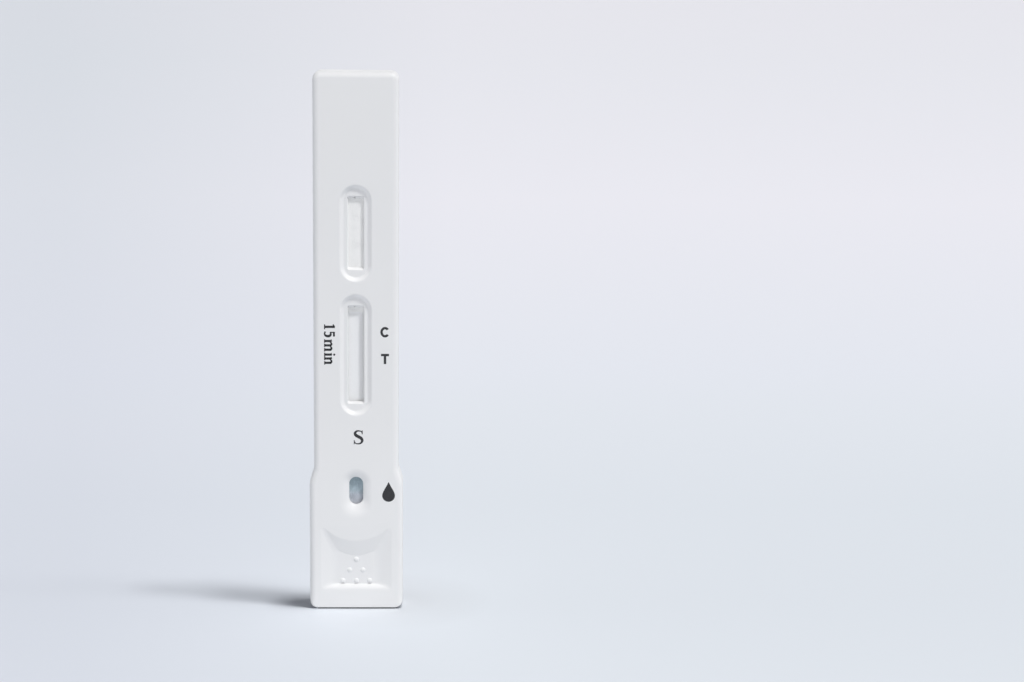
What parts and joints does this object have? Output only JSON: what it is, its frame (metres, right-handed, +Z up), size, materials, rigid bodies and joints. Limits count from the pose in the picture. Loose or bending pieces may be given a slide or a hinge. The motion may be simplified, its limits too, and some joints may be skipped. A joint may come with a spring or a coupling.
{
  "type": "lateral flow test cassette",
  "caption": "Slim white two-shell test cassette standing on end, with two windows, a sample well, a scooped thumb grip and a paper test strip inside.",
  "frame": {"origin": "centre of the bounding box at the cassette's lower end, where it stands", "axes": "+Z up the cassette from the grip end to the top, -Y out of the face with the windows, +X to the right as seen from the front"},
  "size_m": [0.0138, 0.005, 0.0802],
  "materials": {
    "housing": "satin moulded white polystyrene",
    "card": "white film with adhesive",
    "membrane": "smooth matt membrane",
    "conjugate": "glass fibre felt, faintly tinted",
    "sample": "grey-blue fibrous pad",
    "absorbent": "fibrous cotton linter paper"
  },
  "bodies": {
    "root": {"front_cover": "housing", "back_cover": "housing", "backing_card": "card", "nitrocellulose_membrane": "membrane", "conjugate_pad": "conjugate", "sample_pad": "sample", "absorbent_pad": "absorbent"}
  },
  "joints": []
}
